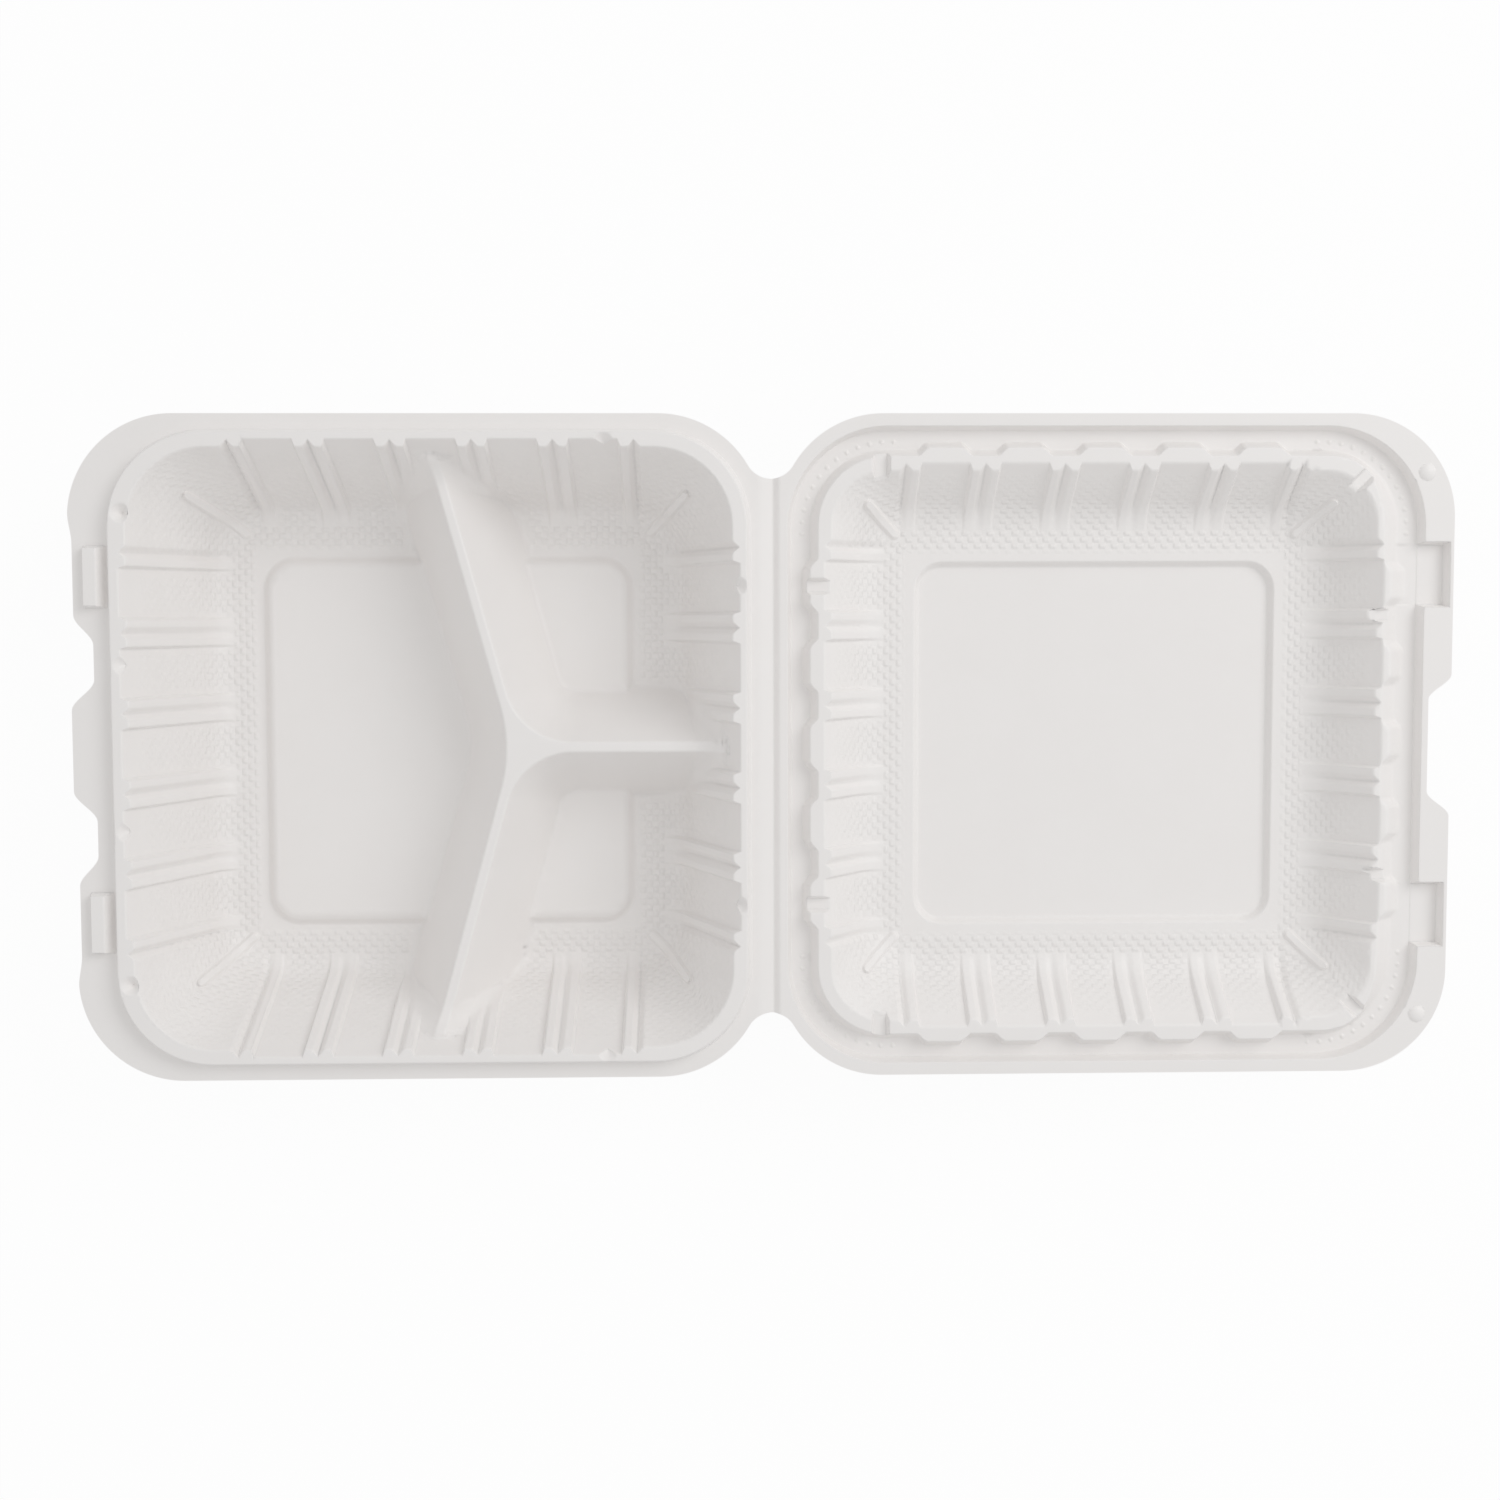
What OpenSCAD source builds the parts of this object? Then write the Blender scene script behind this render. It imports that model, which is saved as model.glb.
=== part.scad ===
// Three-compartment hinged takeaway container, formed from one plastic sheet and laid open.
// The base lies at -X, the lid at +X, and the fold runs along Y between them.
// Each half is drawn with the fold at u = 0 and its front edge towards +u, then set in place.

/* [Sheet] */
// Thickness of the formed sheet
sheet = 0.7; // [0.5:0.1:1]
// Width of the slit that parts base and lid along the fold
fold_slit = 0.5; // [0.4:0.1:1]
// Height of the fold line over the flanges, which sets the gap between closed flanges
fold_lift = 0.6; // [0.5:0.1:1]
// Depth of the groove along the fold
groove_depth = 1.6; // [0.8:0.1:2.5]
// Width of the groove on the base side of the fold
groove_base_w = 4; // [2:0.5:5]
// Width of the groove on the lid side of the fold
groove_lid_w = 2; // [1.5:0.5:4]

/* [Flanges] */
// Height of the base flange over the table
flange_z = 48; // [40:1:60]
// Flange beside the rim, at the two sides
flange_side = 5.4; // [4:0.2:8]
// Base flange in front of the rim
base_front = 13.6; // [12.5:0.1:18]
// Lid flange in front of the base rim
lid_front = 11.3; // [10.5:0.1:14]
// Strip between the fold and the rim
hinge_strip = 7; // [6:0.5:10]
// Corner radius of the flanges
flange_corner_r = 36; // [30:1:42]
// How far the rounded outline stays off the fold
outline_setback = 2.8; // [2:0.2:4]
// Radius of the hollow corners at the ends of the fold
neck_r = 9; // [5:0.5:12]

/* [Base tray] */
// Width of the square opening, measured between wall panels at the rim
opening_w = 211.6; // [190:0.2:240]
// Height of the rim over the flange
rim_h = 5.5; // [4:0.5:8]
// Width of the rim's flat top beside a wall panel
rim_land = 2.5; // [2:0.1:5]
// Slope of the rim's outer side
rim_draft = 13; // [8:1:20]
// Slope of the tray walls
wall_draft = 21.5; // [15:0.5:26]
// Radius between walls and floor
foot_r = 10.3; // [6:0.1:14]
// Corner radius of the opening
opening_corner_r = 27; // [22:1:32]
// Corner radius of the floor
floor_corner_r = 16; // [12:1:20]
// Width of the raised middle of the floor
panel_w = 131.6; // [110:0.2:136]
// Rise of that middle panel
panel_rise = 3; // [2:0.5:5]
// Corner radius of the panel
panel_corner_r = 10; // [6:0.5:16]

/* [Wall flutes] */
// Distance from one recessed wall panel to the next
flute_pitch = 27.5; // [24:0.5:32]
// Width of a recessed panel
flute_panel_w = 16.3; // [12:0.1:18]
// Depth of a recessed panel at the rim
flute_depth = 2.7; // [1:0.1:3.5]
// Width of a panel's sloping side
flute_ramp = 1.2; // [0.8:0.1:2]
// Half width of the V groove between two panels
vee_w = 2.1; // [1.2:0.1:3]
// Share of the flute depth that is left where a wall meets the floor radius
flute_fade = 0.6; // [0.2:0.1:1]

/* [Divider] */
// How far the divider's ridge lies under the rim
ridge_drop = 15; // [10:0.5:22]
// Width of the ridge
ridge_w = 3.5; // [2:0.1:6]
// Slope of the divider's sides
divider_draft = 25; // [18:0.5:28]
// Lean of the two side arms towards the front
arm_lean = 15.4; // [5:0.2:22]
// Distance of the junction from the tray's middle, towards the fold
junction_back = 27.9; // [20:0.1:34]
// Radius of the ridge where the two side arms meet at the front
front_bend_r = 54; // [40:1:70]
// Radius of the ridge where a side arm meets the hinge arm
hinge_bend_r = 24; // [18:1:30]
// Radius where an arm runs into a wall, at the ridge
arm_end_r = 16; // [8:1:20]

/* [Front lock] */
// Distance from the middle to the near end of each lug
lug_from = 49; // [46:0.5:56]
// Length of a lug
lug_len = 21; // [14:0.5:24]
// Depth of a lug, front to back
lug_w = 6.6; // [5:0.2:7]
// Height of a lug over the flange
lug_h = 4; // [2.5:0.1:4.5]
// Run of a lug's sloping back
lug_slope = 2; // [1:0.1:3]
// Gap between rim and lug
lug_gap = 1.2; // [0.8:0.1:2]
// Room around a lug in the lid's pocket
pocket_gap = 0.8; // [0.6:0.1:1.2]
// Half width of the tongue in the middle of the base flange
tongue_half = 14; // [10:0.5:16]
// Width of each finger notch beside the tongue
notch_w = 32.6; // [26:0.2:33]
// Depth of the finger notches
notch_depth = 8; // [5:0.2:9]
// Width of a notch's slanted end
notch_slant = 9; // [6:0.5:10]
// Width of the notch in the lid flange
lid_notch_w = 49.4; // [40:0.2:60]
// Depth of the notch in the lid flange
lid_notch_depth = 8; // [5:0.2:8.6]
// Rounding of the notch corners
notch_r = 5; // [2:0.5:6]

/* [Lid] */
// Depth of the lid from its flange to its middle panel
lid_depth = 23.2; // [20:0.1:32]
// Sideways room between the base rim and the lid's channel
rim_gap = 1.1; // [0.6:0.1:1.6]
// Room over the base rim in the closed lid's channel
seat_gap = 0.5; // [0.4:0.1:1]
// Room between the lid's plug ring and the base wall
plug_gap = 0.8; // [0.6:0.1:1.4]
// Height of the plug ring over the lid flange
ring_h = 1; // [0:0.2:1.6]
// Width of the plug ring's flat top beside a wall panel
ring_land = 4.8; // [3.5:0.1:6]
// Slope of the lid walls
lid_draft = 36.5; // [30:0.5:40]
// Radius between lid walls and lid floor
lid_foot_r = 14.8; // [10:0.2:17]
// Corner radius of the lid's opening
lid_corner_r = 25; // [20:1:27]
// Width of the sunken middle of the lid
lid_panel_w = 129.4; // [110:0.2:132]
// Depth of that middle panel under the lid floor
lid_panel_drop = 3; // [2:0.5:5]
// Width of a steam vent across the plug ring
vent_w = 6; // [4:0.5:8]
// Depth of a steam vent
vent_depth = 1.6; // [0.8:0.1:2]
// Distance of the front vents from the middle of their side
vent_front = 45.5; // [40:0.5:58]
// Distance of the hinge-side vents from the middle of their side
vent_hinge = 55; // [40:0.5:58]
// Distance of the side vents from the middle of the lid, towards the fold
vent_side = 78.5; // [70:0.5:80]
// Height of the two stacking buttons on the lid flange
button_h = 0.8; // [0.4:0.1:0.8]
// Radius of a stacking button
button_r = 2.8; // [2:0.1:3]
// Distance of a stacking button from the lid's front edge
button_inset = 10; // [9:0.5:12]

/* [Corner bars] */
// Width of the raised bars in the wall corners
bar_w = 2.6; // [1.5:0.1:4]
// Height of a bar over the wall
bar_h = 0.7; // [0.4:0.1:1.2]

/* [Hidden] */
$fn = 28;
sheet_white = [0.93, 0.925, 0.915];
// Steps of a quarter circle, and of the curve between a wall and a floor
corner_steps = 6;
foot_steps = 2;
// How far cutting shapes run past the faces that they cut
over = 1;
// Thickness of the slices that hulls are drawn between
skin = 0.01;
// Least radius in a compartment's corners, and how far those reach past the tray's walls
least_bend_r = 1.5;
wall_margin = 0.3;
// Slope of the lugs' and vents' short sides, as a run in millimetres
lug_edge = 0.4;
vent_edge = 0.8;

rim_z = flange_z + rim_h;
floor_z = sheet;
ridge_z = rim_z - ridge_drop;
opening_half = opening_w / 2;
rim_top_half = opening_half + rim_land;
rim_half = rim_top_half + rim_h * tan(rim_draft);
rim_corner_r = opening_corner_r + rim_half - opening_half + flute_depth;
// Wall panels along one side, as many as fit between the round corners
panels = floor(2 * (opening_half - flute_depth - opening_corner_r - vee_w) / flute_pitch);
centre_u = hinge_strip + rim_half;
half_width = rim_half + flange_side;
base_reach = centre_u + rim_half + base_front;
lid_reach = centre_u + rim_half + lid_front;
// The open container stands centred over the origin
hinge_x = (base_reach - lid_reach) / 2;

flange_gap = 2 * fold_lift;
channel_depth = rim_h + seat_gap - flange_gap;
channel_z = flange_z - channel_depth;
channel_half = rim_half + rim_gap;
ring_z = flange_z + ring_h;
ring_foot_half = opening_half - plug_gap;
ring_slope = tan(wall_draft);
ring_top_half = ring_foot_half - (ring_z - channel_z) * ring_slope;
lid_opening_half = ring_top_half - ring_land;
lid_floor_z = flange_z - lid_depth + lid_panel_drop;
lid_under_z = flange_z - lid_depth - sheet;
lug_back_u = centre_u + rim_half + lug_gap;
junction_u = centre_u - junction_back;
// Run of a vent, from inside the lid's opening to past the ring's outer foot
ring_cross = ring_foot_half - lid_opening_half + 2 * flute_depth + 2 * over;

// Places along one side where a fluted outline turns: [place, 0 on a rib and 1 in a panel]
function flute_stations(panel_w, vee) = [
    for (k = [0 : panels - 1])
        let (
            c = (k - (panels - 1) / 2) * flute_pitch,
            panel = [
                [c - panel_w / 2 - flute_ramp, 0],
                [c - panel_w / 2, 1],
                [c + panel_w / 2, 1],
                [c + panel_w / 2 + flute_ramp, 0]
            ]
        )
            each concat(
                k == 0 ? vee_stations(c - flute_pitch / 2, vee) : [],
                panel,
                vee_stations(c + flute_pitch / 2, vee)
            )
];
function vee_stations(c, vee) = vee > 0 ? [for (i = [-1 : 1]) [c + i * vee, 1 - abs(i)]] : [];

// A square outline with round corners, whose panels stand out by depth past its ribs
function fluted_square(rib_half, corner_r, depth, stations) =
    let (
        straight = rib_half - corner_r,
        last = stations[len(stations) - 1][0] + flute_ramp / 2,
        squeeze = min(1, straight / last),
        side = [for (s = stations) [rib_half + depth * s[1], s[0] * squeeze]],
        bend = [
            for (i = [0 : corner_steps])
                let (a = 90 * i / corner_steps)
                    [straight + corner_r * cos(a), straight + corner_r * sin(a)]
        ]
    )
    [
        for (turn = [0 : 3])
            let (c = cos(90 * turn), s = sin(90 * turn))
                for (p = concat(side, bend))
                    [c * p[0] - s * p[1], s * p[0] + c * p[1]]
    ];

function at_height(outline, z) = [for (p = outline) [p[0], p[1], z]];

// The rings of a fluted, drafted cavity from floor to top, swelled by off along its normals
function cavity_rings(top_half, top_z, bottom_z, draft, bend_r, top_r, bottom_r, off) =
    let (
        bend_z = bottom_z + bend_r * (1 - sin(draft)),
        bend_half = top_half - (top_z - bend_z) * tan(draft),
        stations = flute_stations(flute_panel_w, vee_w)
    )
    concat(
        [
            for (i = [foot_steps : -1 : 0])
                let (
                    slope = draft + (90 - draft) * i / foot_steps,
                    depth = flute_depth * flute_fade * (1 - i / foot_steps),
                    half = bend_half - bend_r * (cos(draft) - cos(slope)) + off * cos(slope) - depth,
                    z = bend_z - bend_r * (sin(slope) - sin(draft)) - off * sin(slope)
                )
                    at_height(fluted_square(half, bottom_r + off * cos(slope), depth, stations), z)
        ],
        [
            at_height(
                fluted_square(
                    top_half + over * tan(draft) + off * cos(draft) - flute_depth,
                    top_r + off * cos(draft),
                    flute_depth,
                    stations
                ),
                top_z + over - off * sin(draft)
            )
        ]
    );

// A solid through rings of equally many points, the lowest ring first
module loft(rings) {
    n = len(rings[0]);
    last = len(rings) - 1;
    sides = [
        for (i = [0 : last - 1], j = [0 : n - 1])
            let (a = i * n + j, b = i * n + (j + 1) % n)
                each [[a, a + n, b + n], [a, b + n, b]]
    ];
    foot = [for (j = [0 : n - 1]) j];
    head = [for (j = [n - 1 : -1 : 0]) last * n + j];
    polyhedron(points = [for (r = rings) each r], faces = concat([foot], sides, [head]), convexity = 8);
}

module rounded_square(half, r) {
    offset(r = r)
        square(2 * (half - r), center = true);
}

// A block with sloping sides and round corners, from z0 up to z1
module tapered_block(half0, half1, r, z0, z1) {
    hull() {
        translate([0, 0, z0])
            linear_extrude(skin)
                rounded_square(half0, r);
        translate([0, 0, z1 - skin])
            linear_extrude(skin)
                rounded_square(half1, r);
    }
}

// A finger notch in a front edge at u = reach, as a flat shape with slanted ends
module notch_shape(reach, v0, v1, depth) {
    out = notch_r + over;
    widen = notch_slant * out / depth;
    offset(r = notch_r)
        offset(r = -notch_r)
            polygon([
                [reach + out, v0 - widen],
                [reach - depth, v0 + notch_slant],
                [reach - depth, v1 - notch_slant],
                [reach + out, v1 + widen]
            ]);
}

// The flat sheet's outline, with the lid towards +u and the base towards -u
module sheet_outline() {
    offset(r = notch_r)
        offset(r = -notch_r)
            difference() {
                offset(r = -neck_r)
                    offset(r = neck_r)
                        for (reach = [lid_reach, -base_reach])
                            translate([sign(reach) * (outline_setback + abs(reach)) / 2, 0])
                                offset(r = flange_corner_r)
                                    square(
                                        [
                                            abs(reach) - outline_setback - 2 * flange_corner_r,
                                            2 * (half_width - flange_corner_r)
                                        ],
                                        center = true
                                    );
                notch_shape(lid_reach, -lid_notch_w / 2, lid_notch_w / 2, lid_notch_depth);
                for (side = [0, 1])
                    mirror([1, 0])
                        mirror([0, side])
                            notch_shape(base_reach, tongue_half, tongue_half + notch_w, notch_depth);
            }
}

// One half of the outline, cut off at the fold, with the front towards +u
module half_outline(reach, flip, grow) {
    offset(delta = grow)
        intersection() {
            mirror([flip, 0])
                sheet_outline();
            translate([fold_slit / 2, -half_width])
                square([reach, 2 * half_width]);
        }
}

// What the groove along the fold takes off a flange
module groove_cut(w, off) {
    rotate([90, 0, 0])
        linear_extrude(2 * half_width, center = true)
            polygon([
                [-over, flange_z - groove_depth * (1 + over / w) - off],
                [w * (1 + over / groove_depth), flange_z + over - off],
                [-over, flange_z + over - off]
            ]);
}

// A raised bar that follows the wall in each corner of a cavity
module corner_bars(rings) {
    per_turn = len(rings[0]) / 4;
    middle = per_turn - 1 - corner_steps / 2;
    for (turn = [0 : 3])
        hull()
            for (ring = [rings[foot_steps], (rings[foot_steps] + 2 * rings[foot_steps + 1]) / 3])
                translate(ring[turn * per_turn + middle])
                    rotate([0, 0, 45 + 90 * turn])
                        cube([2 * bar_h, bar_w, skin], center = true);
}

// Corners of a compartment at one height: [u, v, radius], for the skin swelled by off
function bend_at(ridge_r, z, off) =
    max(least_bend_r, ridge_r - (ridge_z - z) * tan(divider_draft)) + off;
function arm_half(z, off) =
    ridge_w / 2 + (ridge_z - z) * tan(divider_draft) - off / cos(divider_draft);
function wall_half(z, off) =
    opening_half - (rim_z - z) * tan(wall_draft) + off / cos(wall_draft) + wall_margin;
function front_corners(z, off) =
    let (
        arm = arm_half(z, off),
        bend = bend_at(front_bend_r, z, off),
        end = bend_at(arm_end_r, z, off),
        v = wall_half(z, off) - end,
        u = junction_u + (arm + end + v * sin(arm_lean)) / cos(arm_lean)
    )
    [
        [junction_u + (arm + bend) / cos(arm_lean), 0, bend],
        [u, v, end],
        [u, -v, end],
        [base_reach, v, end],
        [base_reach, -v, end]
    ];
function hinge_corners(z, off) =
    let (
        arm = arm_half(z, off),
        bend = bend_at(hinge_bend_r, z, off),
        end = bend_at(arm_end_r, z, off),
        v = wall_half(z, off) - end,
        u = centre_u - v
    )
    [
        [junction_u - (arm + bend) * (1 - sin(arm_lean)) / cos(arm_lean), arm + bend, bend],
        [junction_u - (arm + end - v * sin(arm_lean)) / cos(arm_lean), v, end],
        [u, arm + end, end],
        [u, v, end]
    ];

module compartment(low_corners, high_corners, z0, z1) {
    hull() {
        for (c = low_corners)
            translate([c[0], c[1], z0])
                cylinder(r = c[2], h = skin);
        for (c = high_corners)
            translate([c[0], c[1], z1])
                cylinder(r = c[2], h = skin);
    }
}

// The room inside the base: a fluted tray, parted by the divider up to its ridge
module tray_room(off) {
    rings = cavity_rings(
        opening_half, rim_z, floor_z, wall_draft, foot_r, opening_corner_r, floor_corner_r, off
    );
    z0 = floor_z - off - over;
    z1 = ridge_z + over;
    difference() {
        intersection() {
            translate([centre_u, 0, 0])
                loft(rings);
            union() {
                translate([0, -half_width, ridge_z - off])
                    cube([base_reach, 2 * half_width, ridge_drop + 2 * over]);
                compartment(front_corners(z0, off), front_corners(z1, off), z0, z1);
                for (side = [0, 1])
                    mirror([0, side, 0])
                        compartment(hinge_corners(z0, off), hinge_corners(z1, off), z0, z1);
            }
        }
        translate([centre_u, 0, 0]) {
            tapered_block(
                panel_w / 2 + panel_rise / 2 - off,
                panel_w / 2 - off,
                panel_corner_r,
                -2 * over,
                floor_z + panel_rise - off
            );
            corner_bars(rings);
        }
    }
}

// The rim as a solid block, before the room inside it is taken out
module rim_block(off) {
    side = rim_top_half - off / cos(rim_draft);
    translate([centre_u, 0, 0])
        tapered_block(
            side + (rim_h + over) * tan(rim_draft),
            side + off * tan(rim_draft),
            rim_corner_r - off,
            flange_z - over - off,
            rim_z - off
        );
}

// A locking lug: steep in front, and sloping back towards the rim
module lug(off) {
    hull() {
        translate([lug_back_u + off, lug_from + off, flange_z - off - over])
            cube([lug_w - 2 * off, lug_len - 2 * off, over]);
        translate([lug_back_u + lug_slope + off, lug_from + off + lug_edge, flange_z + lug_h - off - skin])
            cube([lug_w - lug_slope - lug_edge - 2 * off, lug_len - 2 * (off + lug_edge), skin]);
    }
}

// Everything under one skin of the base: off is 0 for the upper skin, sheet for the lower
module base_form(off) {
    low = off > 0 ? -2 * over : -over;
    difference() {
        union() {
            translate([0, 0, low])
                linear_extrude(flange_z - off - low)
                    half_outline(base_reach, 1, off > 0 ? over : 0);
            rim_block(off);
            for (side = [0, 1])
                mirror([0, side, 0])
                    lug(off);
        }
        groove_cut(groove_base_w, off);
        tray_room(off);
    }
}

// The lid's channel, which takes the base rim, with a pocket for each lug
module channel_room(off) {
    grow = off / cos(rim_draft);
    translate([centre_u, 0, 0])
        tapered_block(
            channel_half - (channel_depth + off) * tan(rim_draft) + grow,
            channel_half + over * tan(rim_draft) + grow,
            rim_corner_r + rim_gap + off,
            channel_z - off,
            flange_z + over
        );
    room = pocket_gap + off;
    for (side = [0, 1])
        mirror([0, side, 0])
            hull() {
                translate([lug_back_u - rim_h, lug_from - room, channel_z - off])
                    cube([lug_w + rim_h + room, lug_len + 2 * room, skin]);
                translate([lug_back_u - rim_h, lug_from - room - lug_edge, flange_z])
                    cube([lug_w + rim_h + room + lug_edge, lug_len + 2 * (room + lug_edge), over]);
            }
}

// The plug ring, scalloped to pass between the ribs of the base walls
module plug_ring(off) {
    stations = flute_stations(flute_panel_w - 4 * plug_gap, 0);
    translate([centre_u, 0, 0])
        loft([
            for (z = [channel_z - off - over, ring_z - off])
                at_height(
                    fluted_square(
                        ring_foot_half - flute_depth - (z - channel_z) * ring_slope - off / cos(wall_draft),
                        opening_corner_r - plug_gap - off,
                        flute_depth,
                        stations
                    ),
                    z
                )
        ]);
}

// Steam vents, cut across the plug ring
module vents(off) {
    room = vent_w / 2 + off;
    for (v = [[0, vent_front], [180, vent_hinge], [90, vent_side], [270, -vent_side]])
        for (side = [-1, 1])
            translate([centre_u, 0, 0])
                rotate([0, 0, v[0]])
                    translate([ring_foot_half + over - ring_cross, side * v[1], ring_z - vent_depth - off])
                        hull() {
                            translate([0, vent_edge - room, 0])
                                cube([ring_cross, 2 * (room - vent_edge), skin]);
                            translate([0, -room, vent_depth + off + over])
                                cube([ring_cross, 2 * room, skin]);
                        }
}

// The room inside the lid, with its sunken middle panel
module lid_room(off) {
    rings = cavity_rings(
        lid_opening_half, ring_z, lid_floor_z, lid_draft, lid_foot_r, lid_corner_r, floor_corner_r, off
    );
    translate([centre_u, 0, 0]) {
        difference() {
            loft(rings);
            corner_bars(rings);
        }
        tapered_block(
            lid_panel_w / 2 - lid_panel_drop / 2 + off,
            lid_panel_w / 2 + off,
            panel_corner_r,
            flange_z - lid_depth - off,
            lid_floor_z + over
        );
    }
}

// A low round stacking button on the lid flange
module button(off) {
    translate([lid_reach - button_inset, half_width - 2 * button_inset, flange_z - off - over])
        cylinder(r1 = button_r + over * button_r / 2, r2 = button_r / 2, h = over + button_h, $fn = 12);
}

// Everything under one skin of the lid: off is 0 for the upper skin, sheet for the lower
module lid_form(off) {
    low = lid_under_z - (off > 0 ? 2 : 1) * over;
    difference() {
        union() {
            difference() {
                union() {
                    translate([0, 0, low])
                        linear_extrude(flange_z - off - low)
                            half_outline(lid_reach, 0, off > 0 ? over : 0);
                    for (side = [0, 1])
                        mirror([0, side, 0])
                            button(off);
                }
                groove_cut(groove_lid_w, off);
                channel_room(off);
            }
            plug_ring(off);
        }
        lid_room(off);
        vents(off);
    }
}

module base_tray() {
    color(sheet_white)
        translate([hinge_x, 0, 0])
            mirror([1, 0, 0])
                difference() {
                    base_form(0);
                    base_form(sheet);
                }
}

module lid() {
    color(sheet_white)
        translate([hinge_x, 0, 0])
            difference() {
                lid_form(0);
                lid_form(sheet);
            }
}

base_tray();
lid();
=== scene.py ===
import bpy
import numpy as np
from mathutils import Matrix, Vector
from mathutils.geometry import delaunay_2d_cdt


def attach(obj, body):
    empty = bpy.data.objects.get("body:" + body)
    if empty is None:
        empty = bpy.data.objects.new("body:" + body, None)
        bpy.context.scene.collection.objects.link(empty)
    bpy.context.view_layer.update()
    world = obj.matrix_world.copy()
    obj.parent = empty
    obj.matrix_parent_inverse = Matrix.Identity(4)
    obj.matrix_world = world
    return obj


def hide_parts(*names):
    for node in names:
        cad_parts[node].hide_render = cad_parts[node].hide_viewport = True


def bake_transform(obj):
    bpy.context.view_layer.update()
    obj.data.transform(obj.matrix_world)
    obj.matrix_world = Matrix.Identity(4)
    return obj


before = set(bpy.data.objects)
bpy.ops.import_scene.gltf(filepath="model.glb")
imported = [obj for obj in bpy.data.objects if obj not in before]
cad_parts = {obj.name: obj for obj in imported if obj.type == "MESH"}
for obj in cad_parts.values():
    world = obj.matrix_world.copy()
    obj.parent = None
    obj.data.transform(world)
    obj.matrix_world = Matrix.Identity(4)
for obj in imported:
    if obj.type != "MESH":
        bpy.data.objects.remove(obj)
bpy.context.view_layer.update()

# Camera
# The view of the photograph, nearly straight down on the open container.
# Its place and lens were fitted to measured edges of both halves.
view = bpy.data.cameras.new("view")
view.lens = 47.2
view.sensor_width = 36.0
camera = bpy.data.objects.new("view", view)
camera.location = (-0.02405, 0.0454, 0.7272)
camera.rotation_euler = (-0.0675, -0.0265, -0.0026)
bpy.context.collection.objects.link(camera)
bpy.context.scene.camera = camera

# Base tray
# The deep half of one sheet of mineral-filled polypropylene, vacuum-formed over a mould and trimmed.
# Fluted walls and a bordered floor hold the food, a hollow Y-shaped divider parts it,
# and the raised rim with its two lugs meets the lid.

# Sizes are in millimetres: u is the distance from the fold, v runs along it, and p is u from a half's middle
MM = 0.001
SHEET = 0.7
HINGE_X = 1.15
MID_U = 116.57
BASE_MID = HINGE_X - MID_U

# The trimmed edge, with a neck at each end of the fold and finger notches beside the front tongue
FLANGE_Z = 48.0
HALF_WIDTH = 114.97
FLANGE_R = 36.0
BACK_CORNER_U = 38.8
NECK_R = 9.0
NECK_V = 101.76
FOLD_MEET = (7.76, 97.2)
BASE_REACH = 239.74
BASE_FOLD_EDGE = 5.6
NOTCH_DEPTH = 7.84
NOTCH_NEAR = (13.9, 24.4)
NOTCH_FAR = (36.3, 46.6)
LUG_CUT = 1.3
LUG_CUT_END = (71, 82)

RIM_Z = 53.5
RIM_HALF = 109.57
RIM_R = 33.5
RIM_SLOPE = 4.33
RIM_ROUND = 1.2
RIM_FOOT_ROUND = 1.5
OPENING_HALF = 105.8
OPENING_R = 28.1
BASE_SHRINK = 0.396
BASE_WALL = {"slope": 2.539, "bend": 18.23, "foot": 27.81, "foot_r": 10.3}
BASE_FLOOR_Z = 0.7
BASE_PANEL_HALF = 67.3
BASE_PANEL_R = 11.5
PANEL_STEP = 3.0
BASE_PANEL_SLOPE = 1.6
BASE_PANEL_ROUND = 1.4

# Flutes: a middle panel and two more on each side of it, with a V groove in the rib between neighbours
SIDE_PANELS = 2
FLUTE_PITCH = 27.5
FLUTE_DEPTH = 2.7
FLUTE_FADE = (1, 0.8, 0.5, 0)
PANEL_HALF = 8.15
PANEL_RAMP = 1.2
VEE_HALF = 2.5
VEE_ROUND = 0.6
# Below the opening's edge the ribs fade out where the divider comes up to the wall's height
RIB_TOP = 4
RIB_ENDS = (-16, -2)
# Where the middle panel of each wall lies along it: front, hinge side, +Y side, -Y side
BASE_SHIFTS = (-0.9, 0.4, -1.0, -1.0)
# The front wall and the floor before it lie a little further in than the others
FRONT_IN = 1.0
FRONT_IN_RUN = (30, 100)

# Divider: its foot is tight on the floor, sweeps out up the wall and is tight again below the rim
RIDGE_Z = 38.5
RIDGE_HALF = 1.75
RIDGE_ROUND = 1.2
JUNCTION_U = 88.67
ARM_LEAN = np.radians(15.4)
DIVIDER_SLOPE = 2.1445
FRONT_BEND_R = 54.0
HINGE_BEND_R = 24.0
DIVIDER_ROUND = 2
DIVIDER_SWEEP = 22
SWEEP_START_Z = (4, 18)
SWEEP_END_Z = (36, 48)

LUG_V = (49.0, 70.0)
LUG_U = (226.8, 234.5)
LUG_H = 4.0
LUG_BACK_SLOPE = 1.6
LUG_SIDE_SLOPE = 7
LUG_ROUND = 0.6
LUG_FOOT_ROUND = 0.5

# Small half-round recesses in the rim's inner edge, as distance from the fold and along it
DENTS = [(220.3, 81.1), (220.5, 29.5), (220.5, -27.5), (220.3, -80.5),
         (11.6, 56.0), (11.6, -54.0), (57.0, 104.8), (57.0, -104.8)]
DENT_R = 3.3
DENT_REACH = 5
DENT_SLOPE = 1.1
DENT_ROUND = 0.4

# Ends of a corner bar, from the tray's middle
BASE_BAR = ((86.7, 85.8), (73.8, 74.2))
BASE_BAR_SHIFT = 1.9
BAR_HALF = 1.6
BAR_RAMP = (-0.7, 0.6)
BAR_H = 1.2
BAR_MARGIN = 2.4


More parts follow.
